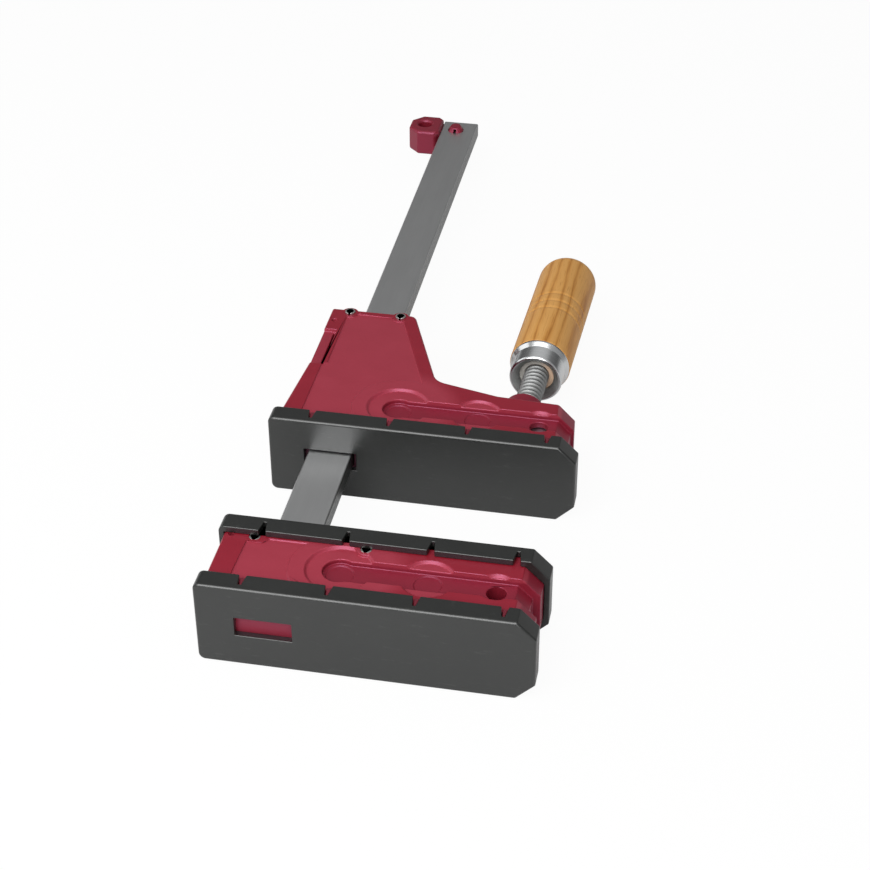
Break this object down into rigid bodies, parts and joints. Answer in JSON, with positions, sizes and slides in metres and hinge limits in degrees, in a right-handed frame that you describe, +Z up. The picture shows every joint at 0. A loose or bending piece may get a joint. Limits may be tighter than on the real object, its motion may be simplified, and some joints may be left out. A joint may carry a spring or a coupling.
{
  "type": "parallel clamp",
  "caption": "Parallel-jaw bar clamp with deep moulded jaws, padded faces, a sliding jaw on a flat steel bar and a wood-handled clamping screw.",
  "frame": {"origin": "centre of the fixed jaw's working face, on the middle plane of the bar", "axes": "+Y along the bar, away from the fixed jaw, the way the clamp opens; +X along the jaws from their spine end to their tip; +Z up with the clamp lying on its side"},
  "size_m": [0.14, 0.455, 0.04],
  "materials": {
    "crimson_moulding": "glass-filled nylon, moulded, semi-gloss with fine flow marks",
    "black_pad": "fine moulded grain, matt",
    "bar_steel": "cold-drawn, bright, brushed along its length",
    "core_steel": "stamped or forged, zinc plated",
    "pin_steel": "spring steel, oiled",
    "spindle_steel": "rolled thread, bright zinc",
    "ferrule_steel": "turned and plated, bright",
    "varnished_wood": "turned hardwood, clear varnish"
  },
  "bodies": {
    "fixed_frame": {"bar": "bar_steel", "fixed_jaw_body": "crimson_moulding", "core_cheek_upper": "core_steel", "core_cheek_lower": "core_steel", "core_rivets": "core_steel", "core_spacer": "core_steel", "outer_pad": "black_pad", "inner_pad": "black_pad", "spine_roll_pin": "pin_steel", "throat_roll_pin": "pin_steel", "end_stop": "crimson_moulding"},
    "clamping_arm": {"sliding_arm": "core_steel", "spine_bite_pin": "pin_steel", "throat_bite_pin": "pin_steel", "spindle_nut": "core_steel"},
    "sliding_jaw": {"jaw_housing": "crimson_moulding", "sliding_pad": "black_pad", "spine_guide_pin": "pin_steel", "throat_guide_pin": "pin_steel", "brake_leaf": "pin_steel", "thrust_washer": "core_steel"},
    "spindle_handle": {"spindle": "spindle_steel", "spindle_clip": "pin_steel", "ferrule": "ferrule_steel", "handle": "varnished_wood"}
  },
  "joints": [
    {"name": "jaw_slide", "type": "slide", "parent": "fixed_frame", "child": "clamping_arm", "axis": [0, 1, 0], "range_m": [-0.0702, 0.2035]},
    {"name": "clamp_travel", "type": "slide", "parent": "clamping_arm", "child": "sliding_jaw", "axis": [0, -1, 0], "range_m": [-0.009, 0]},
    {"name": "spindle_turn", "type": "hinge", "parent": "sliding_jaw", "child": "spindle_handle", "pos_m": [0.0374, 0.079, 0], "axis": [-0.0375, -0.9993, 0], "range_deg": [-1081, 0]}
  ],
  "couplings": [
    {"joint": "spindle_turn", "follows": "clamp_travel", "rad_per_m": 2094.4}
  ]
}
